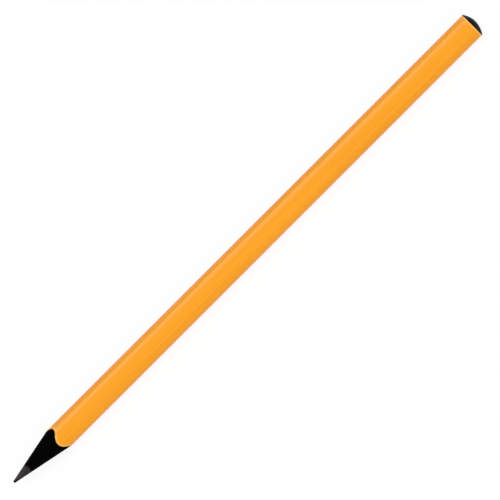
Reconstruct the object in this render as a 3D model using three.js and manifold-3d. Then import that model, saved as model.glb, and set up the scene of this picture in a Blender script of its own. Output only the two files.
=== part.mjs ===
// Triangular wooden pencil: sharpened to a blunt lead tip at one end, closed by a dipped dome
// at the other. Millimetres, +Z up. It lies along X on one of its three faces, tip at -X.
import * as THREE from 'three';
import { mergeVertices, toCreasedNormals } from 'three/addons/utils/BufferGeometryUtils.js';
import Module from 'manifold-3d';

// Driving dimensions, in millimetres and degrees
const pencilLength = 175; // lead tip to the crown of the dome
const faceReach = 3.42; // axis to the middle of a face of the bare wood
const faceFlat = 1.2; // width of the true flat down the middle of each face
const faceRadius = 5; // soft crown of the face, which its flat cuts
const cornerRadius = 2.39; // rounding of the three corners
const primerThickness = 0.07; // filler and undercoat on the wood
const colourThickness = 0.03; // orange lacquer over the primer
const leadDiameter = 2.7;
const leadTipRadius = 0.37; // blunted end of the lead
const sharpeningAngle = 22.9; // full angle of the sharpened cone
const glueThickness = 0.06; // film between the two slats, and round the lead
const domeHeight = 1.45; // dipped end, from the cut butt to its crown
const domeShoulder = 0.2; // straight edge of the dip, where its dome starts
const domeFullness = 2.1; // power of the dome's profile, 2 for a parabola
const bondGap = 0.01; // between any two pieces that are bonded face to face

// Fineness of the curved surfaces
const faceArcSteps = 5;
const cornerArcSteps = 10;
const roundSegments = 60;
const tipArcSteps = 5;
const domeRings = 9;
const creaseAngle = THREE.MathUtils.degToRad(20);
const weldDistance = 1e-4;

// Places that follow from the sizes, measured along the axis and out from it
const tipX = -pencilLength / 2;
const crownX = pencilLength / 2;
const buttX = crownX - domeHeight;
const halfAngle = THREE.MathUtils.degToRad(sharpeningAngle / 2);
const leadRadius = leadDiameter / 2;
const glueInnerRadius = leadRadius + bondGap;
const glueOuterRadius = glueInnerRadius + glueThickness;
const grooveRadius = glueOuterRadius + bondGap;
const slatFaceHeight = glueThickness / 2 + bondGap;
const primerInner = bondGap;
const primerOuter = primerInner + primerThickness;
const colourInner = primerOuter + bondGap;
const colourOuter = colourInner + colourThickness;
const axisHeight = faceReach + colourOuter;

// The tip is a ball that the cone touches, so the cone's point lies just beyond it.
const apexX = tipX + leadTipRadius - leadTipRadius / Math.sin(halfAngle);
const blankRadius = 2 * axisHeight;
const blankStart = apexX - axisHeight;
const blankEnd = crownX + axisHeight;

const wasm = await Module();
wasm.setup();

// Drops normals and doubled points, so that the surface is one closed skin.
function weld(geometry) {
  const bare = geometry.clone();
  bare.deleteAttribute('normal');
  bare.deleteAttribute('uv');
  const merged = mergeVertices(bare, weldDistance);
  const corners = merged.index.array;
  const kept = [];
  for (let i = 0; i < corners.length; i += 3) {
    const [a, b, c] = corners.subarray(i, i + 3);
    if (a !== b && b !== c && c !== a) {
      kept.push(a, b, c);
    }
  }
  merged.setIndex(kept);
  return merged;
}

function solidOf(geometry) {
  const skin = weld(geometry);
  return new wasm.Manifold(new wasm.Mesh({
    numProp: 3,
    vertProperties: skin.attributes.position.array,
    triVerts: Uint32Array.from(skin.index.array),
  }));
}

function geometryOf(solid) {
  const mesh = solid.getMesh();
  const geometry = new THREE.BufferGeometry();
  geometry.setAttribute('position', new THREE.BufferAttribute(mesh.vertProperties, 3));
  geometry.setIndex(new THREE.BufferAttribute(mesh.triVerts, 1));
  return geometry;
}

// Points of an arc about a centre, without the first, which the stretch before it ends on.
function arcPoints(centre, radius, from, to, steps) {
  const arc = new THREE.EllipseCurve(centre.x, centre.y, radius, radius, from, to);
  return arc.getPoints(steps).slice(1);
}

// Soft triangle as (y, z) points about the axis, grown outwards by "offset". One third is drawn
// with its face towards +y, as flat, crown, corner, crown, then turned three times.
function sectionOutline(offset) {
  // the crown's centre lies behind the axis, and the corner's where its arc runs on from the crown
  const crownBack = Math.sqrt(faceRadius ** 2 - (faceFlat / 2) ** 2) - faceReach;
  const radiusStep = faceRadius - cornerRadius;
  const cornerOut = (Math.sqrt(4 * radiusStep ** 2 - 3 * crownBack ** 2) - crownBack) / 2;

  const axis = new THREE.Vector2();
  const thirdTurn = 2 * Math.PI / 3;
  const crown = new THREE.Vector2(-crownBack, 0);
  const nextCrown = crown.clone().rotateAround(axis, thirdTurn);
  const corner = new THREE.Vector2(cornerOut, 0).rotateAround(axis, thirdTurn / 2);
  const crownRadius = faceRadius + offset;
  const flatTurn = Math.acos((crownBack + faceReach + offset) / crownRadius);
  const cornerTurn = Math.atan2(corner.y, corner.x - crown.x);
  const third = [
    new THREE.Vector2(faceReach + offset, crownRadius * Math.sin(flatTurn)),
    ...arcPoints(crown, crownRadius, flatTurn, cornerTurn, faceArcSteps),
    ...arcPoints(corner, cornerRadius + offset, cornerTurn, thirdTurn - cornerTurn, cornerArcSteps),
    ...arcPoints(nextCrown, crownRadius, thirdTurn - cornerTurn, thirdTurn - flatTurn, faceArcSteps),
  ];
  // the first face looks straight down, so that the pencil rests on it
  const faceDirections = [-Math.PI / 2, Math.PI / 6, 5 * Math.PI / 6];
  return faceDirections.flatMap((direction) => third.map(
    (point) => point.clone().rotateAround(axis, direction),
  ));
}

// Straight length of an outline along X, from one x to another.
function prism(outline, fromX, toX) {
  const geometry = new THREE.ExtrudeGeometry(new THREE.Shape(outline), {
    depth: toX - fromX,
    bevelEnabled: false,
  });
  geometry.applyMatrix4(new THREE.Matrix4().makeBasis(
    new THREE.Vector3(0, 1, 0),
    new THREE.Vector3(0, 0, 1),
    new THREE.Vector3(1, 0, 0),
  ));
  geometry.translate(fromX, 0, 0);
  return solidOf(geometry);
}

// Round solid about the X axis. The profile's points are (radius, x), from low x to high x.
function turned(profile) {
  return new THREE.LatheGeometry(profile, roundSegments).rotateZ(-Math.PI / 2);
}

function rod(radius, fromX, toX) {
  return solidOf(turned([
    new THREE.Vector2(0, fromX),
    new THREE.Vector2(radius, fromX),
    new THREE.Vector2(radius, toX),
    new THREE.Vector2(0, toX),
  ]));
}

function block(width, fromZ, toZ) {
  const geometry = new THREE.BoxGeometry(blankEnd - blankStart, width, toZ - fromZ);
  geometry.translate((blankStart + blankEnd) / 2, 0, (fromZ + toZ) / 2);
  return solidOf(geometry);
}

// What a sharpener leaves of a wide blank: the cone, and all that lies behind it.
function sharpened(solid) {
  const cone = solidOf(turned([
    new THREE.Vector2(0, apexX),
    new THREE.Vector2(blankRadius, apexX + blankRadius / Math.tan(halfAngle)),
    new THREE.Vector2(blankRadius, blankEnd),
    new THREE.Vector2(0, blankEnd),
  ]));
  return solid.intersect(cone);
}

function blank(offset) {
  return prism(sectionOutline(offset), apexX, buttX);
}

// Rod of graphite and clay, with the cone's point worn to a small ball.
function leadCore() {
  const ballCentre = new THREE.Vector2(0, tipX + leadTipRadius);
  const touchTurn = -halfAngle;
  const ball = arcPoints(ballCentre, leadTipRadius, -Math.PI / 2, touchTurn, tipArcSteps);
  return turned([
    new THREE.Vector2(0, tipX),
    ...ball,
    new THREE.Vector2(leadRadius, apexX + leadRadius / Math.tan(halfAngle)),
    new THREE.Vector2(leadRadius, buttX),
    new THREE.Vector2(0, buttX),
  ]);
}

// Film that bonds the slats, a sleeve round the lead with a wing on either side of it.
function glueFilm() {
  const sleeve = rod(glueOuterRadius, blankStart, blankEnd);
  const wings = block(2 * blankRadius, -glueThickness / 2, glueThickness / 2);
  const bore = rod(glueInnerRadius, blankStart, blankEnd);
  return geometryOf(sharpened(sleeve.add(wings).subtract(bore).intersect(blank(0))));
}

// One grooved slat: the half of the wooden blank above or below the plane of the glue.
function slat(side) {
  const groove = rod(grooveRadius, blankStart, blankEnd);
  const heights = [side * slatFaceHeight, side * blankRadius].sort((a, b) => a - b);
  const half = block(2 * blankRadius, ...heights);
  return geometryOf(sharpened(blank(0).intersect(half).subtract(groove)));
}

// Coat of lacquer round the barrel, cut back to a slanted edge by the sharpener.
function coat(innerOffset, outerOffset) {
  const core = prism(sectionOutline(innerOffset), blankStart, blankEnd);
  return geometryOf(sharpened(blank(outerOffset).subtract(core)));
}

// Dipped end: a straight edge, then rings of the barrel's outline that shrink to the crown.
function endCap() {
  const outline = sectionOutline(colourOuter);
  const baseX = buttX + bondGap;
  const shoulderX = baseX + domeShoulder;
  const rings = [{ x: baseX, share: 1 }];
  for (let ring = 0; ring < domeRings; ring += 1) {
    const share = Math.cos((ring / domeRings) * (Math.PI / 2));
    rings.push({ x: shoulderX + (crownX - shoulderX) * (1 - share ** domeFullness), share });
  }
  const points = [new THREE.Vector3(baseX, 0, 0)];
  for (const { x, share } of rings) {
    points.push(...outline.map((place) => new THREE.Vector3(x, share * place.x, share * place.y)));
  }
  const crown = points.length;
  points.push(new THREE.Vector3(crownX, 0, 0));

  const corners = [];
  const count = outline.length;
  for (let i = 0; i < count; i += 1) {
    const here = 1 + i;
    const next = 1 + ((i + 1) % count);
    corners.push(0, next, here);
    for (let ring = 1; ring < rings.length; ring += 1) {
      const lower = (ring - 1) * count;
      const upper = ring * count;
      corners.push(here + lower, next + lower, next + upper);
      corners.push(here + lower, next + upper, here + upper);
    }
    const last = (rings.length - 1) * count;
    corners.push(here + last, next + last, crown);
  }
  return new THREE.BufferGeometry().setFromPoints(points).setIndex(corners);
}

const graphite = { color: 0x3e3a3b, roughness: 0.5, metalness: 0 };
const dyedWood = { color: 0x0a0a0a, roughness: 0.75, metalness: 0 };
const driedGlue = { color: 0x15120f, roughness: 0.6, metalness: 0 };
const undercoat = { color: 0xfab955, roughness: 0.7, metalness: 0 };
const orangeLacquer = { color: 0xfea52b, roughness: 0.3, metalness: 0 };
const blackLacquer = { color: 0x0b0b0d, roughness: 0.25, metalness: 0 };

function piece(name, geometry, finish) {
  const mesh = new THREE.Mesh(
    toCreasedNormals(geometry, creaseAngle),
    new THREE.MeshStandardMaterial(finish),
  );
  mesh.name = name;
  return mesh;
}

const group = new THREE.Group();
group.position.z = axisHeight;
group.add(
  piece('lead_core', leadCore(), graphite),
  piece('lower_slat', slat(-1), dyedWood),
  piece('upper_slat', slat(1), dyedWood),
  piece('glue_film', glueFilm(), driedGlue),
  piece('primer_coat', coat(primerInner, primerOuter), undercoat),
  piece('colour_coat', coat(colourInner, colourOuter), orangeLacquer),
  piece('end_cap', endCap(), blackLacquer),
);

export default group;
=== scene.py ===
"""Looks of a triangular wooden pencil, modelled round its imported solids.

Pieces are drawn in millimetres about the pencil's own axis, as on a maker's drawing, and each is
brought to metres and to its place when it is completed. The pencil lies along X on one of its
three faces, with the lead tip at -X and the domed end at +X.
"""

import logging
import math
from contextlib import contextmanager
from dataclasses import dataclass
from enum import Enum
from itertools import pairwise
from typing import Any, Callable, Iterator, Mapping, Optional, Sequence

import bmesh
import bpy
from mathutils import Matrix, Vector


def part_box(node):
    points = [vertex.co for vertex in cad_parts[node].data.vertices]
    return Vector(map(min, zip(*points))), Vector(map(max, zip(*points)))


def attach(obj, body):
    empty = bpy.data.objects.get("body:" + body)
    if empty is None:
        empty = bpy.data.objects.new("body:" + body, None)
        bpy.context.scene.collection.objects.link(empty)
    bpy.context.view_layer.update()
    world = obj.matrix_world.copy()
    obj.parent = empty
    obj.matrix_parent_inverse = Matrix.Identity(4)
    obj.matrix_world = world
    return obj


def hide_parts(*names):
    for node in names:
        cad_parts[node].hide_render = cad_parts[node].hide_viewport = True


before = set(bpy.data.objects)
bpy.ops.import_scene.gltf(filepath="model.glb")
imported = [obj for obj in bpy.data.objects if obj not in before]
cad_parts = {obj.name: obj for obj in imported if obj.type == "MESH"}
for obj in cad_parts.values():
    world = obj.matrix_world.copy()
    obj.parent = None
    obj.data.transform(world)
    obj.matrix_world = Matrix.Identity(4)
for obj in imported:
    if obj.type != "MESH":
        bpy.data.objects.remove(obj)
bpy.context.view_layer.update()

LOG = logging.getLogger("pencil")
MM = 0.001
BODY = "root"
# What counts as one place, in millimetres, when doubled points are merged or a point is looked up
SAME_PLACE = 2e-4
# Where nearly all of a noise's values lie, and how much each finer octave of it counts
NOISE_SPAN = (0.3, 0.7)
OCTAVE_SHARE = 0.55
# The pencil's own direction, and the turn from one of its faces to the next
ALONG = Vector((1, 0, 0))
THIRD = math.tau / 3

Pair = tuple[float, float]
Socket = bpy.types.NodeSocket


class Element(Enum):
    """What is picked in edit mode."""

    POINT = "VERT"
    LINE = "EDGE"


class Keep(Enum):
    """What a cutting solid leaves of a piece."""

    INSIDE = "INTERSECT"
    OUTSIDE = "DIFFERENCE"


class Side(Enum):
    """Which half of the split casing a slat is."""

    LOWER = -1
    UPPER = 1


# Modelling


def deselect_all() -> None:
    """Leaves no object selected."""
    bpy.ops.object.select_all(action="DESELECT")


def activate(piece: bpy.types.Object) -> None:
    """Selects one object alone, for the next operators to work on."""
    deselect_all()
    piece.select_set(True)
    bpy.context.view_layer.objects.active = piece


@contextmanager
def editing(piece: bpy.types.Object, element: Element = Element.POINT) -> Iterator[None]:
    """Edit mode on one object, with nothing picked at its start.

    Args:
        piece: The object to edit.
        element: What is picked while it lasts.

    Yields:
        Nothing; the object leaves edit mode at the end.
    """
    activate(piece)
    bpy.ops.object.mode_set(mode="EDIT")
    bpy.ops.mesh.select_mode(type=element.value)
    bpy.ops.mesh.select_all(action="DESELECT")
    yield
    bpy.ops.object.mode_set(mode="OBJECT")


def pick_lines(piece: bpy.types.Object, test: Callable[[Vector], bool]) -> None:
    """Picks the lines in edit mode whose two ends both pass a test of place.

    Args:
        piece: The object, in edit mode with lines as what is picked.
        test: Tells whether a place counts.
    """
    bpy.ops.mesh.select_all(action="DESELECT")
    mesh = bmesh.from_edit_mesh(piece.data)
    for line in mesh.edges:
        if all(test(end.co) for end in line.verts):
            line.select = True
    mesh.select_flush_mode()
    bmesh.update_edit_mesh(piece.data)


def pick_open_edges() -> None:
    """Picks the open edges of the mesh in edit mode, those that only one face has."""
    bpy.ops.mesh.select_all(action="DESELECT")
    bpy.ops.mesh.select_non_manifold(
        extend=False,
        use_wire=False,
        use_multi_face=False,
        use_non_contiguous=False,
        use_verts=False,
    )


def start_point(name: str, place: Vector) -> bpy.types.Object:
    """Starts a drawing from a single point, which is left picked in edit mode.

    Args:
        name: The object's name.
        place: Where the point is, in millimetres.

    Returns:
        The new object, in edit mode.
    """
    deselect_all()
    bpy.ops.mesh.primitive_plane_add(size=1, location=(0, 0, 0))
    piece = bpy.context.object
    piece.name = piece.data.name = name
    bpy.ops.object.mode_set(mode="EDIT")
    bpy.ops.mesh.select_mode(type=Element.POINT.value)
    bpy.ops.mesh.select_all(action="SELECT")
    bpy.ops.mesh.merge(type="CENTER")
    bpy.ops.transform.translate(value=place)
    return piece


def extrude_by(step: Vector) -> None:
    """Extrudes what is picked by a straight step, in millimetres."""
    bpy.ops.mesh.extrude_region_move(TRANSFORM_OT_translate={"value": step})


def sweep(centre: Vector, axis: Vector, angle: float, steps: int) -> None:
    """Sweeps what is picked round an axis, anticlockwise as seen from the axis's head.

    Args:
        centre: A point on the axis.
        axis: The axis's direction.
        angle: How far to turn, in radians.
        steps: How many stretches the arc has.
    """
    bpy.ops.mesh.spin(steps=steps, angle=-angle, center=centre, axis=axis)


def join_doubles() -> None:
    """Merges the points of the whole mesh in edit mode that share a place."""
    bpy.ops.mesh.select_all(action="SELECT")
    bpy.ops.mesh.remove_doubles(threshold=SAME_PLACE)


def face_outwards() -> None:
    """Turns every face of the mesh in edit mode to look out of the solid."""
    bpy.ops.mesh.select_all(action="SELECT")
    bpy.ops.mesh.normals_make_consistent(inside=False)


def apply_modifier(piece: bpy.types.Object, kind: str, **settings: Any) -> None:
    """Adds a modifier and applies it at once.

    Args:
        piece: The object to change.
        kind: The modifier's type.
        settings: The modifier's own settings.
    """
    activate(piece)
    modifier = piece.modifiers.new(kind.title(), kind)
    for key, value in settings.items():
        setattr(modifier, key, value)
    bpy.ops.object.modifier_apply(modifier=modifier.name)


def cut(piece: bpy.types.Object, tool: bpy.types.Object, keep: Keep) -> None:
    """Cuts a solid with another one, which is used up, and keeps what is inside or outside it."""
    apply_modifier(piece, "BOOLEAN", object=tool, operation=keep.value, solver="EXACT")
    bpy.data.objects.remove(tool)


# Layout and shared shapes


@dataclass(frozen=True)
class Layout:
    """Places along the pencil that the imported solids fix, in millimetres.

    Attributes:
        tip: Where the lead ends.
        butt: Where the barrel is cut square.
        crown: The top of the dome.
        axis_height: The axis over the surface that the pencil lies on.
        lead_radius: The lead's radius.
    """

    tip: float
    butt: float
    crown: float
    axis_height: float
    lead_radius: float

    @classmethod
    def from_frame(cls) -> "Layout":
        """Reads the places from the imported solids.

        Returns:
            The layout of this pencil.
        """
        lead_low, lead_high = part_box("lead_core")
        return cls(
            tip=lead_low.x / MM,
            butt=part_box("colour_coat")[1].x / MM,
            crown=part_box("end_cap")[1].x / MM,
            axis_height=(lead_low.z + lead_high.z) / 2 / MM,
            lead_radius=(lead_high.y - lead_low.y) / 2 / MM,
        )


@dataclass(frozen=True)
class SoftTriangle:
    """Section of the casing: three softly crowned faces between wide round corners.

    Attributes:
        face_reach: Axis to the middle of a face of the bare wood, in millimetres.
        face_flat: Width of the true flat down the middle of a face, which it rests on.
        face_radius: Crown of a face on either side of its flat.
        corner_radius: Rounding of a corner.
        face_steps: Stretches in each crowned half of a face.
        corner_steps: Stretches round a corner.
    """

    face_reach: float = 3.42
    face_flat: float = 1.2
    face_radius: float = 5.0
    corner_radius: float = 2.39
    face_steps: int = 12
    corner_steps: int = 26

    @property
    def crown_back(self) -> float:
        """How far behind the axis the centre of a face's crown lies."""
        return math.sqrt(self.face_radius**2 - (self.face_flat / 2) ** 2) - self.face_reach

    @property
    def corner_out(self) -> float:
        """Axis to a corner's centre, at which the corner's arc runs on from both crowns."""
        radius_step = self.face_radius - self.corner_radius
        return (math.sqrt(4 * radius_step**2 - 3 * self.crown_back**2) - self.crown_back) / 2

    @property
    def corner_turn(self) -> float:
        """Angle off the face's normal at which the corner takes over from the crown."""
        across = math.sqrt(3) / 2 * self.corner_out
        return math.atan2(across, self.corner_out / 2 + self.crown_back)

    def flat_turn(self, offset: float) -> float:
        """Angle off the face's normal at which the crown takes over from the flat."""
        return math.acos((self.crown_back + self.face_reach + offset) / (self.face_radius + offset))

    def corner_reach(self, offset: float) -> float:
        """Axis to the crest of a corner of the outline grown by an offset."""
        return self.corner_out + self.corner_radius + offset

    def crowned_reach(self, place: Vector, offset: float) -> float:
        """Gives the distance to the axis that a place would have on faces without a flat.

        Args:
            place: A place on the outline.
            offset: How far the outline is grown outwards, in millimetres.

        Returns:
            The place's own distance to the axis, or that of the crown over a place on a flat.
        """
        for face in range(3):
            faced_down = Matrix.Rotation(face * THIRD, 3, "X") @ place
            if abs(faced_down.z + self.face_reach + offset) < SAME_PLACE:
                crown = math.sqrt((self.face_radius + offset) ** 2 - faced_down.y**2)
                return math.hypot(faced_down.y, crown - self.crown_back)
        return math.hypot(place.y, place.z)

    def draw(self, name: str, offset: float, x: float, flat_steps: int = 1) -> bpy.types.Object:
        """Draws the outline as one closed loop about the X axis.

        The first third starts at one end of the flat of the face that looks down. It is swept
        as crown, corner and crown, ends with the next flat, and is then copied round the axis.

        Args:
            name: The new object's name.
            offset: How far the outline is grown outwards, in millimetres.
            x: Where along the axis it lies.
            flat_steps: Stretches across each flat.

        Returns:
            The new object, in edit mode with its whole outline picked.
        """

        def place(out: float, turn: float) -> Vector:
            """Point at a distance from the axis, a turn on from straight down."""
            angle = turn - math.pi / 2
            return Vector((x, out * math.cos(angle), out * math.sin(angle)))

        def flat_end(turn: float, side: int) -> Vector:
            """End of the flat of the face that a turn leads to."""
            middle = place(self.face_reach + offset, turn)
            half = (self.face_radius + offset) * math.sin(self.flat_turn(offset))
            return middle + side * half * (place(1, turn + math.pi / 2) - place(0, 0))

        corner_arc = THIRD - 2 * self.corner_turn
        crown_arc = self.corner_turn - self.flat_turn(offset)
        piece = start_point(name, flat_end(0, 1))
        sweep(place(-self.crown_back, 0), ALONG, crown_arc, self.face_steps)
        sweep(place(self.corner_out, THIRD / 2), ALONG, corner_arc, self.corner_steps)
        sweep(place(-self.crown_back, THIRD), ALONG, crown_arc, self.face_steps)
        for _ in range(flat_steps):
            extrude_by((flat_end(THIRD, 1) - flat_end(THIRD, -1)) / flat_steps)

        bpy.ops.mesh.select_all(action="SELECT")
        bpy.ops.mesh.spin(steps=2, angle=-2 * THIRD, center=(x, 0, 0), axis=ALONG, dupli=True)
        join_doubles()
        return piece


@dataclass(frozen=True)
class SharpenedCone:
    """Cone that the sharpener leaves, about the pencil's axis.

    Attributes:
        tip: Where the worn lead ends, in millimetres.
        ball_radius: Radius of the lead's worn end.
        full_angle: Angle between opposite sides of the cone, in degrees.
        length: How far the cutting tool reaches behind the apex.
        segments: Flats round the cutting tool.
    """

    tip: float
    ball_radius: float = 0.37
    full_angle: float = 22.9
    length: float = 180.0
    segments: int = 256

    @property
    def slope(self) -> float:
        """Growth of the radius with each millimetre along the axis."""
        return math.tan(math.radians(self.full_angle / 2))

    @property
    def apex(self) -> float:
        """Where the cone's sides would meet, just beyond the worn tip."""
        return self.tip + self.ball_radius - self.ball_radius / math.sin(math.atan(self.slope))

    def x_at(self, radius: float) -> float:
        """Where along the axis the cone has a radius."""
        return self.apex + radius / self.slope

    def tool(self) -> bpy.types.Object:
        """Makes the cone as a solid to cut or project onto.

        Returns:
            The solid, in millimetres.
        """
        deselect_all()
        bpy.ops.mesh.primitive_cone_add(
            vertices=self.segments,
            radius1=self.length * self.slope,
            radius2=0,
            depth=self.length,
            location=(self.apex + self.length / 2, 0, 0),
            rotation=(0, -math.pi / 2, 0),
        )
        tool = bpy.context.object
        bpy.ops.object.transform_apply(location=True, rotation=True, scale=True)
        return tool


# Materials


def linear(sheet_colour: str) -> tuple[float, float, float, float]:
    """Turns an sRGB hex colour into a linear one, by the curve of the sRGB standard.

    Args:
        sheet_colour: Six hex digits after a hash.

    Returns:
        Red, green, blue and an alpha of 1.
    """
    channels = [int(sheet_colour[i : i + 2], 16) / 255 for i in (1, 3, 5)]
    red, green, blue = (
        c / 12.92 if c <= 0.04045 else ((c + 0.055) / 1.055) ** 2.4 for c in channels
    )
    return red, green, blue, 1.0


def add_node(
    tree: bpy.types.NodeTree,
    kind: str,
    inputs: Optional[Mapping[Any, Any]] = None,
    **settings: Any,
) -> bpy.types.Node:
    """Adds one node with its settings and what its inputs get.

    Args:
        tree: The material's or world's node tree.
        kind: The node's type.
        inputs: Constants, and outputs to link, by input name or number.
        settings: The node's own settings.

    Returns:
        The new node.
    """
    node = tree.nodes.new(kind)
    for key, value in settings.items():
        setattr(node, key, value)
    for key, value in (inputs or {}).items():
        if isinstance(value, Socket):
            tree.links.new(value, node.inputs[key])
        else:
            node.inputs[key].default_value = value
    return node


def maths(tree: bpy.types.NodeTree, operation: str, *terms: Any) -> Socket:
    """Combines numbers and value outputs in one step, such as ADD, and gives the value."""
    node = add_node(tree, "ShaderNodeMath", dict(enumerate(terms)), operation=operation)
    return node.outputs["Value"]


def bare_tree(owner: bpy.types.Material | bpy.types.World) -> bpy.types.NodeTree:
    """Turns on the nodes of a material or a world, and gives its tree without any."""
    owner.use_nodes = True
    owner.node_tree.nodes.clear()
    return owner.node_tree


class Shading:
    """A material in the making, and the place on the piece that all its patterns start from.

    Attributes:
        material: The material.
        tree: Its node tree.
        place: The place on the piece in millimetres, in the pencil's own frame.
        along: The same along the pencil only.
    """

    def __init__(self, name: str) -> None:
        """Starts a material with nothing but the place in its tree.

        Args:
            name: The material's name.
        """
        self.material = bpy.data.materials.new(name)
        self.tree = bare_tree(self.material)
        in_metres = add_node(self.tree, "ShaderNodeTexCoord").outputs["Object"]
        self.place = self.vectors("MULTIPLY", in_metres, (1 / MM,) * 3).outputs["Vector"]
        self.along = add_node(self.tree, "ShaderNodeSeparateXYZ", {0: self.place}).outputs["X"]

    def vectors(self, operation: str, *terms: Any) -> bpy.types.Node:
        """Combines vectors and vector outputs in one step, and gives its node."""
        inputs = dict(enumerate(terms))
        return add_node(self.tree, "ShaderNodeVectorMath", inputs, operation=operation)

    def grain(self, spot: Pair, detail: float = 3.0) -> Socket:
        """Makes noise whose spots have a real size.

        Args:
            spot: A spot's size along and across the pencil, in millimetres.
            detail: Finer octaves.

        Returns:
            A value output from 0 to 1, about 0.5.
        """
        length, width = spot
        stretched = self.vectors("MULTIPLY", self.place, (1 / length, 1 / width, 1 / width))
        inputs = {
            "Vector": stretched.outputs["Vector"],
            "Scale": 1.0,
            "Detail": detail,
            "Roughness": OCTAVE_SHARE,
        }
        return add_node(self.tree, "ShaderNodeTexNoise", inputs).outputs["Fac"]

    def remap(self, value: Socket, source: Pair, target: Pair = (0.0, 1.0)) -> Socket:
        """Moves a value smoothly from one range to another, and holds it there.

        Args:
            value: The value to move.
            source: Where the value starts and ends.
            target: What these ends become.

        Returns:
            A value output.
        """
        inputs = dict(enumerate((value, *source, *target)))
        kind = "ShaderNodeMapRange"
        return add_node(self.tree, kind, inputs, interpolation_type="SMOOTHSTEP").outputs["Result"]

    def blend(self, share: Socket, first: Any, second: str) -> Socket:
        """Mixes two colours.

        Args:
            share: How much of the second colour shows.
            first: The colour at a share of 0, in hex or as an output.
            second: The colour at a share of 1, in hex.

        Returns:
            A colour output.
        """
        start = first if isinstance(first, Socket) else linear(first)
        inputs = {"Factor": share, 6: start, 7: linear(second)}
        return add_node(self.tree, "ShaderNodeMix", inputs, data_type="RGBA").outputs[2]

    def end(self, inputs: Mapping[str, Any], height: Socket, height_mm: float) -> None:
        """Ends the material with its shader.

        Args:
            inputs: What the shader's own inputs get.
            height: Relief from 0 to 1.
            height_mm: How high a relief of 1 stands, in millimetres.
        """
        relief = {"Strength": 1.0, "Distance": height_mm * MM, "Height": height}
        bump = add_node(self.tree, "ShaderNodeBump", relief)
        inputs = {**inputs, "Normal": bump.outputs["Normal"]}
        shader = add_node(self.tree, "ShaderNodeBsdfPrincipled", inputs)
        add_node(self.tree, "ShaderNodeOutputMaterial", {"Surface": shader.outputs["BSDF"]})


@dataclass(frozen=True, kw_only=True)
class Finish:
    """A finish whose colour, gloss and relief all follow one noise.

    Attributes:
        name: The material's name.
        colour: The colour where the noise is low.
        mottle: The colour where it is high.
        mottled: Part of the noise over which the one turns into the other.
        spot: Size of the noise's spots along and across the pencil, in millimetres.
        detail: Finer octaves of the noise.
        roughness: Roughness where the noise is low and where it is high.
        specular: The shader's specular level.
        ior: Its index of refraction.
        metallic: How metallic it is.
        height: How high the relief stands, in millimetres.
    """

    name: str
    colour: str
    mottle: str
    mottled: Pair
    spot: Pair
    detail: float = 3.0
    roughness: Pair
    specular: float
    ior: float = 1.5
    metallic: float = 0.0
    height: float

    def over(self, shading: Shading, body: Socket) -> Socket:
        """Gives the colour with all that lies over the mottled body, which is nothing here."""
        return body

    def relief(self, shading: Shading, noise: Socket) -> Socket:
        """Gives the relief from 0 to 1, which is the noise itself here."""
        return noise

    def material(self) -> bpy.types.Material:
        """Makes the material.

        Returns:
            The material.
        """
        shading = Shading(self.name)
        noise = shading.grain(self.spot, self.detail)
        body = shading.blend(shading.remap(noise, self.mottled), self.colour, self.mottle)
        inputs = {
            "Base Color": self.over(shading, body),
            "Roughness": shading.remap(noise, NOISE_SPAN, self.roughness),
            "Specular IOR Level": self.specular,
            "IOR": self.ior,
            "Metallic": self.metallic,
        }
        shading.end(inputs, self.relief(shading, noise), self.height)
        return shading.material


@dataclass(frozen=True, kw_only=True)
class SmearedFinish(Finish):
    """A finish that the sharpener has dragged graphite dust over, in short ragged streaks.

    Attributes:
        lead_edge: Where the lead's cone ends, in millimetres.
        dust: The dust's colour.
        cover: How much of that colour shows where the dust lies thickest.
        reach: How far the longest streaks go.
        width: Width of a streak.
        raggedness: How far the noise moves a streak's end, in reaches.
        fade: Where the dust starts and ends to thin out, from a reach before the lead's edge.
    """

    lead_edge: float
    dust: str = "#393536"
    cover: float = 0.85
    reach: float = 0.9
    width: float = 0.4
    raggedness: float = 3.0
    fade: Pair = (-0.3, 0.1)

    def over(self, shading: Shading, body: Socket) -> Socket:
        """Lays the dust over the body behind the lead.

        Args:
            shading: The material in the making.
            body: The colour underneath.

        Returns:
            A colour output.
        """
        streaks = shading.grain((self.reach, self.width))
        pull = -self.raggedness * self.reach
        ragged = maths(shading.tree, "MULTIPLY_ADD", streaks, pull, shading.along)
        start, end = (self.lead_edge - self.reach + step for step in self.fade)
        share = shading.remap(ragged, (start, end), (self.cover, 0.0))
        return shading.blend(share, body, self.dust)


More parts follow.
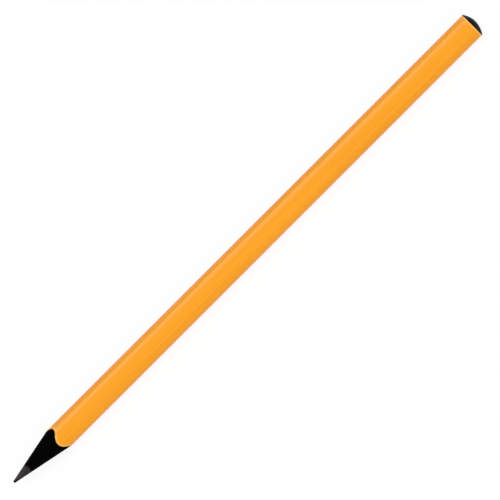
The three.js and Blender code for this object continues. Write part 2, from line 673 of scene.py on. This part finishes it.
@dataclass(frozen=True, kw_only=True)
class OrangeLacquer(Finish):
    """Pigmented lacquer, drawn on in thin coats through a soft ring and cleared on top.

    Opaque and even, with a soft gloss. The ring leaves faint lines along the barrel. The pale
    undercoat shows through where the sharpener has shaved the coats to a feather edge. Along the
    cut butt the same pale colour is a painted highlight.

    Attributes:
        layout: Places along the pencil.
        cone: The sharpened cone.
        thin: Pale colour of the feather edge, also used for the painted highlight along the butt.
        orange_peel: Size of the gentle waves of the surface along and across it.
        butt_highlight_reach: How far from the butt the painted highlight reaches.
        butt_highlight_share: How much of the pale colour the painted highlight shows at the butt
            itself.
        feather_edge: How far behind the cone the coats are thinned.
        feather_share: How much of the thinned colour shows at the cone itself.
    """

    layout: Layout
    cone: SharpenedCone
    name: str = "orange_lacquer"
    colour: str = "#FFA410"
    mottle: str = "#FAA00C"
    mottled: Pair = (0.35, 0.65)
    thin: str = "#FFC56E"
    spot: Pair = (40.0, 0.5)
    roughness: Pair = (0.3, 0.36)
    specular: float = 0.37
    orange_peel: Pair = (1.6, 1.6)
    height: float = 0.004
    butt_highlight_reach: float = 0.75
    butt_highlight_share: float = 0.75
    feather_edge: float = 0.3
    feather_share: float = 0.5

    def behind_cone(self, shading: Shading) -> Socket:
        """Gives how far behind the cone's surface a place lies, along the pencil.

        Args:
            shading: The material in the making.

        Returns:
            A value output.
        """
        to_axis = (0, 0, -self.layout.axis_height)
        across = shading.vectors("MULTIPLY_ADD", shading.place, (0, 1, 1), to_axis)
        radius = shading.vectors("LENGTH", across.outputs["Vector"]).outputs["Value"]
        behind_apex = maths(shading.tree, "SUBTRACT", shading.along, self.cone.apex)
        return maths(shading.tree, "MULTIPLY_ADD", radius, -1 / self.cone.slope, behind_apex)

    def over(self, shading: Shading, body: Socket) -> Socket:
        """Pales the lacquer at its two edges: a painted highlight along the butt, and the feather
        edge.

        Args:
            shading: The material in the making.
            body: The lacquer's colour away from its edges.

        Returns:
            A colour output.
        """
        butt = self.layout.butt
        # The pale band along the butt is a painted highlight; the one behind the cone is the shaved
        # feather edge
        edge = (butt - self.butt_highlight_reach, butt)
        at_butt = shading.remap(shading.along, edge, (0.0, self.butt_highlight_share))
        behind = self.behind_cone(shading)
        shaved = shading.remap(behind, (0.0, self.feather_edge), (self.feather_share, 0.0))
        return shading.blend(maths(shading.tree, "MAXIMUM", at_butt, shaved), body, self.thin)

    def relief(self, shading: Shading, noise: Socket) -> Socket:
        """Gives the slow waves of the surface."""
        return shading.grain(self.orange_peel, detail=1.0)


@dataclass(frozen=True, kw_only=True)
class Undercoat(Finish):
    """Filler and undercoat, chalky and matt where the sharpener has sliced it.

    Its mottle is the black dust that has rubbed into it in smudges.
    """

    name: str = "undercoat"
    colour: str = "#FBBE62"
    mottle: str = "#E39A3C"
    mottled: Pair = (0.5, 0.8)
    spot: Pair = (0.9, 0.9)
    roughness: Pair = (0.55, 0.7)
    specular: float = 0.2
    height: float = 0.004


@dataclass(frozen=True, kw_only=True)
class DyedWood(SmearedFinish):
    """Softwood dyed black right through, cut across its grain by a blade.

    Nearly black and matt. Its mottle is the slightly lighter fibres along the pencil, which are
    finer on real wood and here as wide as shows. The blade leaves fine rings round the cone.

    Attributes:
        ring: Spacing of the blade's rings, and how far one runs before it breaks off.
    """

    name: str = "dyed_wood"
    colour: str = "#020202"
    mottle: str = "#141211"
    mottled: Pair = (0.52, 0.75)
    spot: Pair = (2.4, 0.14)
    roughness: Pair = (0.62, 0.8)
    specular: float = 0.01
    ior: float = 1.45
    ring: Pair = (0.3, 9.0)
    height: float = 0.012

    def relief(self, shading: Shading, noise: Socket) -> Socket:
        """Gives the blade's rings across the fibres."""
        return maths(shading.tree, "ADD", noise, shading.grain(self.ring, detail=1.0))


@dataclass(frozen=True, kw_only=True)
class Graphite(Finish):
    """Rod of fired graphite and clay, shaved to a cone.

    Warm dark grey with a dull metallic sheen. Its mottle is the lighter flecks where flakes lie
    flat. Painted shade marks the pits where the blade has torn some out, and the colour is darker
    towards the tip.

    Attributes:
        tip: Where the lead ends, in millimetres.
        pit_shade: The painted shade in the torn places.
        pit_shade_range: Part of the pits' noise over which their painted shade comes in.
        pit_spot: Size of a torn place along and across the pencil.
        scratch: Spacing of the blade's scratches, and how far one runs.
        dark: The colour at the tip.
        tip_length: How far from the tip the colour darkens.
        tip_core: How far it is darkest.
    """

    tip: float
    name: str = "graphite_and_clay"
    colour: str = "#2B2728"
    mottle: str = "#484344"
    mottled: Pair = (0.48, 0.72)
    spot: Pair = (0.64, 0.4)
    roughness: Pair = (0.5, 0.38)
    specular: float = 0.12
    metallic: float = 0.2
    pit_shade: str = "#161414"
    pit_shade_range: Pair = (0.5, 0.66)
    pit_spot: Pair = (1.4, 0.7)
    scratch: Pair = (0.15, 4.0)
    dark: str = "#0C0B0B"
    tip_length: float = 0.9
    tip_core: float = 0.225
    height: float = 0.01

    def over(self, shading: Shading, body: Socket) -> Socket:
        """Adds the painted shade of the torn pits, and darkens the colour towards the tip.

        Args:
            shading: The material in the making.
            body: The flecked lead.

        Returns:
            A colour output.
        """
        # Painted shade: the torn pits are darkened, as if shade fell in hollows
        pits = shading.grain(self.pit_spot)
        torn = shading.blend(shading.remap(pits, self.pit_shade_range), body, self.pit_shade)
        fade = (self.tip + self.tip_length, self.tip + self.tip_core)
        return shading.blend(shading.remap(shading.along, fade), torn, self.dark)

    def relief(self, shading: Shading, noise: Socket) -> Socket:
        """Gives the blade's scratches across the flecks."""
        return maths(shading.tree, "ADD", noise, shading.grain(self.scratch, detail=1.0))


@dataclass(frozen=True, kw_only=True)
class BlackLacquer(Finish):
    """Thick black lacquer that the end was dipped in, glossy and slightly uneven.

    Its mottle is a painted bluish sheen, laid at random, in place of the dome's faint reflection.
    """

    name: str = "black_dip_lacquer"
    colour: str = "#020203"
    # Painted sheen: this bluish grey stands in for the dome's faint reflection
    mottle: str = "#0C0E11"
    mottled: Pair = (0.5, 0.8)
    spot: Pair = (1.5, 1.5)
    detail: float = 2.0
    roughness: Pair = (0.3, 0.4)
    specular: float = 0.03
    height: float = 0.01


@dataclass(frozen=True, kw_only=True)
class DriedGlue(SmearedFinish):
    """Thin film of wood glue, dark with the wood's dye.

    Its mottle is the places where more dye has bled into it.
    """

    name: str = "dried_wood_glue"
    colour: str = "#14110E"
    mottle: str = "#070606"
    mottled: Pair = (0.4, 0.6)
    spot: Pair = (2.0, 0.5)
    roughness: Pair = (0.5, 0.7)
    specular: float = 0.03
    ior: float = 1.47
    height: float = 0.005


def dress(piece: bpy.types.Object, material: bpy.types.Material) -> None:
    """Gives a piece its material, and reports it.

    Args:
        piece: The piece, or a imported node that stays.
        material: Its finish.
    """
    piece.data.materials.clear()
    piece.data.materials.append(material)
    LOG.info("%s: %d faces", piece.name, len(piece.data.polygons))


# Sub-assemblies


@dataclass(kw_only=True)
class SubAssembly:
    """Pieces that are made together, and the shapes that they share with the others.

    Attributes:
        layout: Places along the pencil.
        section: The casing's section.
        cone: The sharpened cone.
        crease: Least angle of an edge that stays sharp, in degrees.
    """

    layout: Layout
    section: SoftTriangle
    cone: SharpenedCone
    crease: float = 9.5

    def complete(self, piece: bpy.types.Object, material: bpy.types.Material, slot: str) -> None:
        """Brings a drawn piece to metres and to its place, shades it smooth and dresses it.

        Args:
            piece: The piece, drawn in millimetres about the axis.
            material: Its finish.
            slot: The record's material slot, which is not used here.
        """
        activate(piece)
        bpy.ops.object.shade_smooth_by_angle(angle=math.radians(self.crease))
        piece.scale = (MM, MM, MM)
        piece.location = (0, 0, self.layout.axis_height * MM)
        bpy.ops.object.transform_apply(location=True, rotation=True, scale=True)
        dress(piece, material)
        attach(piece, BODY)


@dataclass(kw_only=True)
class Casing(SubAssembly):
    """The two grooved slats of dyed wood, glued round the lead, and the glue between them.

    Attributes:
        groove_gap: Lead to the groove that holds it, in millimetres.
        slat_face_height: Axis to a slat's glued face.
        groove_segments: Flats round the groove.
    """

    groove_gap: float = 0.08
    slat_face_height: float = 0.04
    groove_segments: int = 120

    @property
    def groove_radius(self) -> float:
        """Radius of the groove in each slat."""
        return self.layout.lead_radius + self.groove_gap

    def whole(self) -> bpy.types.Object:
        """Makes the casing in one piece: a bored blank, sharpened.

        Returns:
            The casing, in millimetres.
        """
        piece = self.section.draw("casing", 0, self.layout.butt)
        bpy.ops.mesh.edge_face_add()
        extrude_by(Vector((self.cone.apex - self.layout.butt, 0, 0)))
        face_outwards()
        bpy.ops.object.mode_set(mode="OBJECT")
        cut(piece, self.cone.tool(), Keep.INSIDE)

        deselect_all()
        bpy.ops.mesh.primitive_cylinder_add(
            vertices=self.groove_segments,
            radius=self.groove_radius,
            depth=2 * self.cone.length,
            rotation=(0, math.pi / 2, 0),
        )
        cut(piece, bpy.context.object, Keep.OUTSIDE)
        return piece

    def slat(self, casing: bpy.types.Object, side: Side) -> bpy.types.Object:
        """Cuts one slat from the casing.

        Args:
            casing: The whole casing.
            side: Which slat.

        Returns:
            The slat, in millimetres.
        """
        activate(casing)
        bpy.ops.object.duplicate(linked=False)
        piece = bpy.context.object
        piece.name = piece.data.name = f"{side.name.lower()}_wood_slat"
        with editing(piece):
            bpy.ops.mesh.select_all(action="SELECT")
            bpy.ops.mesh.bisect(
                plane_co=(0, 0, side.value * self.slat_face_height),
                plane_no=(0, 0, -side.value),
                use_fill=True,
                clear_outer=True,
            )
            join_doubles()
            face_outwards()
        return piece

    def build(self) -> None:
        """Builds both slats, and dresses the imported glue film."""
        lead_edge = self.cone.x_at(self.layout.lead_radius)
        wood = DyedWood(lead_edge=lead_edge).material()
        casing = self.whole()
        for side in Side:
            piece = self.slat(casing, side)
            self.complete(piece, wood, "dyed_wood")
            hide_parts(f"{side.name.lower()}_slat")
        bpy.data.objects.remove(casing)
        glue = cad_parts["glue_film"]
        dress(glue, DriedGlue(lead_edge=lead_edge).material())


@dataclass(kw_only=True)
class Coats(SubAssembly):
    """The coats of lacquer round the barrel, sliced back by the sharpener.

    Attributes:
        gap: Between two bonded pieces, in millimetres.
        primer: Thickness of filler and undercoat.
        colour: Thickness of the orange lacquer.
        ring_spacing: Between the rings of points along the barrel.
        ring_clearance: From the scalloped edge back to the first of them.
        flat_steps: Stretches across a flat, for the curve of the front edge.
        proud: How far the inner ring stands out of the butt while it is joined up.
    """

    gap: float = 0.01
    primer: float = 0.07
    colour: float = 0.03
    ring_spacing: float = 20.0
    ring_clearance: float = 0.3
    flat_steps: int = 8
    proud: float = 1.0

    @property
    def primer_offset(self) -> float:
        """Bare wood to the outside of the primer."""
        return self.gap + self.primer

    @property
    def outer_offset(self) -> float:
        """Bare wood to the outside of the barrel."""
        return self.primer_offset + self.gap + self.colour

    def stations(self, offset: float) -> Sequence[float]:
        """Gives the places of a skin's rings, from the butt to just behind the scalloped edge.

        Args:
            offset: Bare wood to the skin, in millimetres.

        Returns:
            The places along the axis.
        """
        scallop_end = self.cone.x_at(self.section.corner_reach(offset))
        length = self.layout.butt - scallop_end - self.ring_clearance
        count = round(length / self.ring_spacing)
        return [self.layout.butt - length * step / count for step in range(count + 1)]

    def wall(self, name: str, offset: float) -> bpy.types.Object:
        """Makes one skin of a coat: a tube whose front edge lies on the cone.

        Across a flat, the edge runs as if the crown went on there. The flat itself would give
        it a short, sharp nose that no pencil has.

        Args:
            name: The object's name.
            offset: Bare wood to this skin, in millimetres.

        Returns:
            The skin, open at both ends.
        """
        stations = self.stations(offset)
        piece = self.section.draw(name, offset, stations[0], self.flat_steps)
        for here, there in pairwise(stations):
            extrude_by(Vector((there - here, 0, 0)))
        extrude_by(Vector((self.cone.apex - stations[-1], 0, 0)))
        bpy.ops.object.vertex_group_assign_new()
        bpy.ops.object.mode_set(mode="OBJECT")
        tool = self.cone.tool()
        apply_modifier(
            piece,
            "SHRINKWRAP",
            target=tool,
            wrap_method="PROJECT",
            use_project_x=True,
            use_positive_direction=True,
            vertex_group=piece.vertex_groups[0].name,
        )
        bpy.data.objects.remove(tool)
        piece.vertex_groups.clear()
        for point in piece.data.vertices:
            reach = self.section.crowned_reach(point.co, offset)
            own_reach = math.hypot(point.co.y, point.co.z)
            if point.co.x < stations[-1] - SAME_PLACE and reach > own_reach + SAME_PLACE:
                point.co.x = self.cone.x_at(reach)
        return piece

    def coat(self, name: str, inner: float, outer: float) -> bpy.types.Object:
        """Makes one closed coat from its two skins.

        Args:
            name: The piece's name.
            inner: Bare wood to the inside of the coat, in millimetres.
            outer: Bare wood to its outside.

        Returns:
            The coat, in millimetres.
        """
        piece = self.wall(name, outer)
        lining = self.wall("lining", inner)
        butt = self.layout.butt

        def at_butt(place: Vector) -> bool:
            """Tells whether a point is in a ring at the butt."""
            return place.x > butt - SAME_PLACE

        # The bridge needs a distance between the two rings, so one stands proud meanwhile
        with editing(lining, Element.LINE):
            pick_lines(lining, at_butt)
            bpy.ops.transform.translate(value=(self.proud, 0, 0))
        activate(piece)
        lining.select_set(True)
        bpy.ops.object.join()
        with editing(piece, Element.LINE):
            pick_lines(piece, at_butt)
            bpy.ops.mesh.bridge_edge_loops()
            pick_lines(piece, at_butt)
            bpy.ops.transform.resize(value=(0, 1, 1), center_override=(butt, 0, 0))
            pick_open_edges()
            bpy.ops.mesh.bridge_edge_loops()
            face_outwards()
        return piece

    def build(self) -> None:
        """Builds the primer and the colour coat."""
        primer = self.coat("undercoat", self.gap, self.primer_offset)
        self.complete(primer, Undercoat().material(), "primer")
        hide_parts("primer_coat")
        colour = self.coat("orange_lacquer_coat", self.primer_offset + self.gap, self.outer_offset)
        lacquer = OrangeLacquer(layout=self.layout, cone=self.cone).material()
        self.complete(colour, lacquer, "orange_lacquer")
        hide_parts("colour_coat")


@dataclass(kw_only=True)
class Lead(SubAssembly):
    """The lead, sharpened with the wood and worn to a small ball.

    Attributes:
        ball_steps: Stretches round the worn end.
        segments: Flats round the lead.
    """

    ball_steps: int = 10
    segments: int = 160
    crease: float = 8.0

    def build(self) -> None:
        """Spins the lead from its profile."""
        layout, cone = self.layout, self.cone
        half_angle = math.atan(cone.slope)
        ball_centre = Vector((layout.tip + cone.ball_radius, 0, 0))
        ball_turn = math.pi / 2 - half_angle
        touch_x = ball_centre.x - cone.ball_radius * math.sin(half_angle)
        touch_radius = cone.ball_radius * math.cos(half_angle)
        shoulder_x = cone.x_at(layout.lead_radius)

        piece = start_point("graphite_lead", Vector((layout.tip, 0, 0)))
        sweep(ball_centre, Vector((0, 1, 0)), ball_turn, self.ball_steps)
        extrude_by(Vector((shoulder_x - touch_x, 0, layout.lead_radius - touch_radius)))
        extrude_by(Vector((layout.butt - shoulder_x, 0, 0)))
        extrude_by(Vector((0, 0, -layout.lead_radius)))
        bpy.ops.mesh.select_all(action="SELECT")
        sweep(Vector((0, 0, 0)), ALONG, math.tau, self.segments)
        join_doubles()
        face_outwards()
        bpy.ops.object.mode_set(mode="OBJECT")
        self.complete(piece, Graphite(tip=layout.tip).material(), "graphite_lead")
        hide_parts("lead_core")


@dataclass(kw_only=True)
class DomedEnd(SubAssembly):
    """The dipped end: a low dome that closes the butt, flush with the barrel.

    Attributes:
        offset: Bare wood to the outside of the barrel, in millimetres.
        gap: Between the dome and the cut butt, too thin to show.
        shoulder: Height of the edge under the dome.
        rounding: How far the rounding between edge and dome reaches along each of them.
        rounding_steps: Stretches across the rounding.
        fullness: Power of the dome's profile, 2 for a parabola.
        rings: Rings from the shoulder to the crown.
    """

    offset: float
    gap: float = 0.002
    shoulder: float = 0.2
    rounding: float = 0.12
    rounding_steps: int = 5
    fullness: float = 2.1
    rings: int = 24
    crease: float = 40.0

    def profile(self, start: float) -> Sequence[Pair]:
        """Gives the dome's rings, from the rounded edge to just short of the crown.

        Args:
            start: Where edge and dome would meet without the rounding.

        Returns:
            Each ring's place along the pencil, and its size as a share of the barrel's.
        """
        rise = self.layout.crown - start

        def dome(share: float) -> float:
            """Gives the place of the dome's ring of one size."""
            return start + rise * (1 - share**self.fullness)

        reach = math.hypot(self.section.corner_reach(self.offset), rise * self.fullness)
        rounded = self.rounding / reach
        # The rounding is a quadratic curve that the sharp edge pulls on as its handle
        rings = [(start - self.rounding, 1.0)]
        for step in range(1, self.rounding_steps + 1):
            there = step / self.rounding_steps
            before = (1 - there) ** 2 * (start - self.rounding) + 2 * there * (1 - there) * start
            rings.append((before + there**2 * dome(1 - rounded), 1 - there**2 * rounded))
        first_turn = math.acos(1 - rounded)
        for ring in range(1, self.rings):
            turn = first_turn + (math.pi / 2 - first_turn) * ring / self.rings
            rings.append((dome(math.cos(turn)), math.cos(turn)))
        return rings

    def build(self) -> None:
        """Raises the dome from the barrel's outline, ring by ring."""
        here, share = self.layout.butt + self.gap, 1.0
        piece = self.section.draw("black_domed_end", self.offset, here)
        bpy.ops.mesh.edge_face_add()
        for there, next_share in self.profile(here + self.shoulder):
            extrude_by(Vector((there - here, 0, 0)))
            ratio = next_share / share
            bpy.ops.transform.resize(value=(1, ratio, ratio), center_override=(there, 0, 0))
            here, share = there, next_share
        extrude_by(Vector((self.layout.crown - here, 0, 0)))
        bpy.ops.mesh.merge(type="CENTER")
        face_outwards()
        bpy.ops.object.mode_set(mode="OBJECT")
        self.complete(piece, BlackLacquer().material(), "black_lacquer")
        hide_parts("end_cap")


# Studio


@dataclass(frozen=True)
class SoftLight:
    """A soft rectangular lamp that runs along the pencil.

    Attributes:
        name: The lamp's name.
        angle: Its direction, from the near horizon up over the pencil, in degrees.
        length: Its length along the pencil, in metres.
        width: Its width.
        radiance: How bright its surface is, where 1 is white.
        reach: How far it is.
        in_gloss_only: Whether it only shows as a highlight, instead of lighting matt colours.
    """

    name: str
    angle: float
    length: float
    width: float
    radiance: float
    reach: float = 1.6
    in_gloss_only: bool = False

    def build(self) -> None:
        """Hangs the lamp so that it faces the pencil."""
        data = bpy.data.lights.new(self.name, "AREA")
        data.shape = "RECTANGLE"
        data.size, data.size_y = self.length, self.width
        data.energy = self.radiance * math.pi * self.length * self.width
        lamp = bpy.data.objects.new(self.name, data)
        turn = math.radians(self.angle)
        away = Vector((0, -math.cos(turn), math.sin(turn)))
        axes = Matrix((ALONG, away.cross(ALONG), away)).transposed()
        lamp.matrix_world = Matrix.LocRotScale(away * self.reach, axes, None)
        lamp.visible_diffuse = not self.in_gloss_only
        lamp.visible_glossy = self.in_gloss_only
        bpy.context.collection.objects.link(lamp)


@dataclass
class Studio:
    """Pale floor, plain soft lights and the photograph's camera.

    Attributes:
        layout: Places along the pencil.
        elevation: The camera's height over the horizon, in degrees.
        roll: How far the pencil's length is turned up from level in the picture.
        frame_width: Width of what the picture takes in, in metres.
        distance: Camera to pencil, long enough for the picture's flat perspective.
        clip: The nearest and the farthest that the camera sees.
        sensor: Width of the camera's sensor, in millimetres.
        aim_from_tip: Where along the pencil the picture's middle lies, in millimetres.
        aim_down: How far below the axis the picture's middle lies, as seen.
        floor_half: Half the floor's width, in metres.
        floor_colour: The floor's paint.
        floor_white: Share of plain white that the eye sees over the floor's own light and shadow.
        floor_glow: Strength of that white.
        surround: Light from all round.
    """

    layout: Layout
    elevation: float = 50.0
    roll: float = 45.0
    frame_width: float = 0.13406
    distance: float = 6.0
    clip: Pair = (0.1, 50.0)
    sensor: float = 36.0
    aim_from_tip: float = 88.86
    aim_down: float = 0.71
    floor_half: float = 1.6
    floor_colour: str = "#C8C8C8"
    floor_white: float = 0.75
    floor_glow: float = 1.18
    surround: float = 0.35

    def camera(self) -> None:
        """Sets up the camera at the photograph's viewing angle."""
        elevation, roll = math.radians(self.elevation), math.radians(self.roll)
        upright = Vector((0, math.sin(elevation), math.cos(elevation)))
        back = Vector((0, -math.cos(elevation), math.sin(elevation)))
        right = math.cos(roll) * ALONG - math.sin(roll) * upright
        up = math.sin(roll) * ALONG + math.cos(roll) * upright
        aim = Vector(((self.layout.tip + self.aim_from_tip) * MM, 0, self.layout.axis_height * MM))
        aim -= self.aim_down * MM * upright

        data = bpy.data.cameras.new("photograph_camera")
        data.sensor_width = self.sensor
        data.lens = self.sensor * self.distance / self.frame_width
        data.clip_start, data.clip_end = self.clip
        camera = bpy.data.objects.new("photograph_camera", data)
        turn = Matrix((right, up, back)).transposed()
        camera.matrix_world = Matrix.LocRotScale(aim + back * self.distance, turn, None)
        bpy.context.collection.objects.link(camera)
        bpy.context.scene.camera = camera

    def seen_share(self, tree: bpy.types.NodeTree, share: float) -> Socket:
        """Gives a share to what the camera sees, straight or in a mirror or glass, and 0 to light.

        Args:
            tree: The node tree.
            share: The value for the camera.

        Returns:
            A value output.
        """
        path = add_node(tree, "ShaderNodeLightPath").outputs
        seen = path["Is Camera Ray"]
        for other in ("Is Glossy Ray", "Is Transmission Ray"):
            seen = maths(tree, "MAXIMUM", seen, path[other])
        return maths(tree, "MULTIPLY", seen, share)

    def floor(self) -> None:
        """Lays the pale floor, white to the eye but for the pencil's faint soft shadow."""
        deselect_all()
        bpy.ops.mesh.primitive_plane_add(size=2 * self.floor_half, location=(0, 0, 0))
        floor = bpy.context.object
        floor.name = "studio_floor"
        material = bpy.data.materials.new("pale_floor_paint")
        tree = bare_tree(material)
        paint = add_node(tree, "ShaderNodeBsdfDiffuse", {"Color": linear(self.floor_colour)})
        white = add_node(tree, "ShaderNodeEmission", {"Strength": self.floor_glow})
        share = self.seen_share(tree, self.floor_white)
        inputs = {0: share, 1: paint.outputs["BSDF"], 2: white.outputs["Emission"]}
        mix = add_node(tree, "ShaderNodeMixShader", inputs)
        add_node(tree, "ShaderNodeOutputMaterial", {"Surface": mix.outputs["Shader"]})
        floor.data.materials.append(material)

    def world(self) -> None:
        """Makes the surroundings: white to the eye, and plain in level as light."""
        world = bpy.data.worlds.new("studio_world")
        bpy.context.scene.world = world
        tree = bare_tree(world)
        level = maths(tree, "ADD", self.seen_share(tree, 1 - self.surround), self.surround)
        inputs = {"Color": (1, 1, 1, 1), "Strength": level}
        backdrop = add_node(tree, "ShaderNodeBackground", inputs)
        add_node(tree, "ShaderNodeOutputWorld", {"Surface": backdrop.outputs["Background"]})

    def lights(self) -> Sequence[SoftLight]:
        """Lists the key from the near side, the fills, and the softbox that gloss shows.

        Returns:
            The four lamps.
        """
        return (
            SoftLight(name="key_light", angle=24, length=1.2, width=1.0, radiance=3.6),
            SoftLight(name="overhead_fill", angle=92, length=1.8, width=1.0, radiance=1.5),
            SoftLight(name="rear_fill", angle=160, length=1.8, width=0.8, radiance=1.2),
            SoftLight(
                name="overhead_softbox",
                angle=93,
                reach=0.9,
                length=2.4,
                width=0.75,
                radiance=2.2,
                in_gloss_only=True,
            ),
        )

    def build(self) -> None:
        """Sets up the floor, the surroundings, the lights and the camera."""
        self.camera()
        self.floor()
        self.world()
        for light in self.lights():
            light.build()
        bpy.context.scene.view_settings.view_transform = "Standard"


def main() -> None:
    """Builds the pencil from the lead outwards, then the studio round it."""
    logging.basicConfig(level=logging.INFO, format="%(name)s: %(message)s")
    layout = Layout.from_frame()
    shapes = {"layout": layout, "section": SoftTriangle(), "cone": SharpenedCone(layout.tip)}
    coats = Coats(**shapes)
    Lead(**shapes).build()
    Casing(**shapes).build()
    coats.build()
    DomedEnd(**shapes, offset=coats.outer_offset).build()
    Studio(layout).build()


if __name__ == "__main__":
    main()
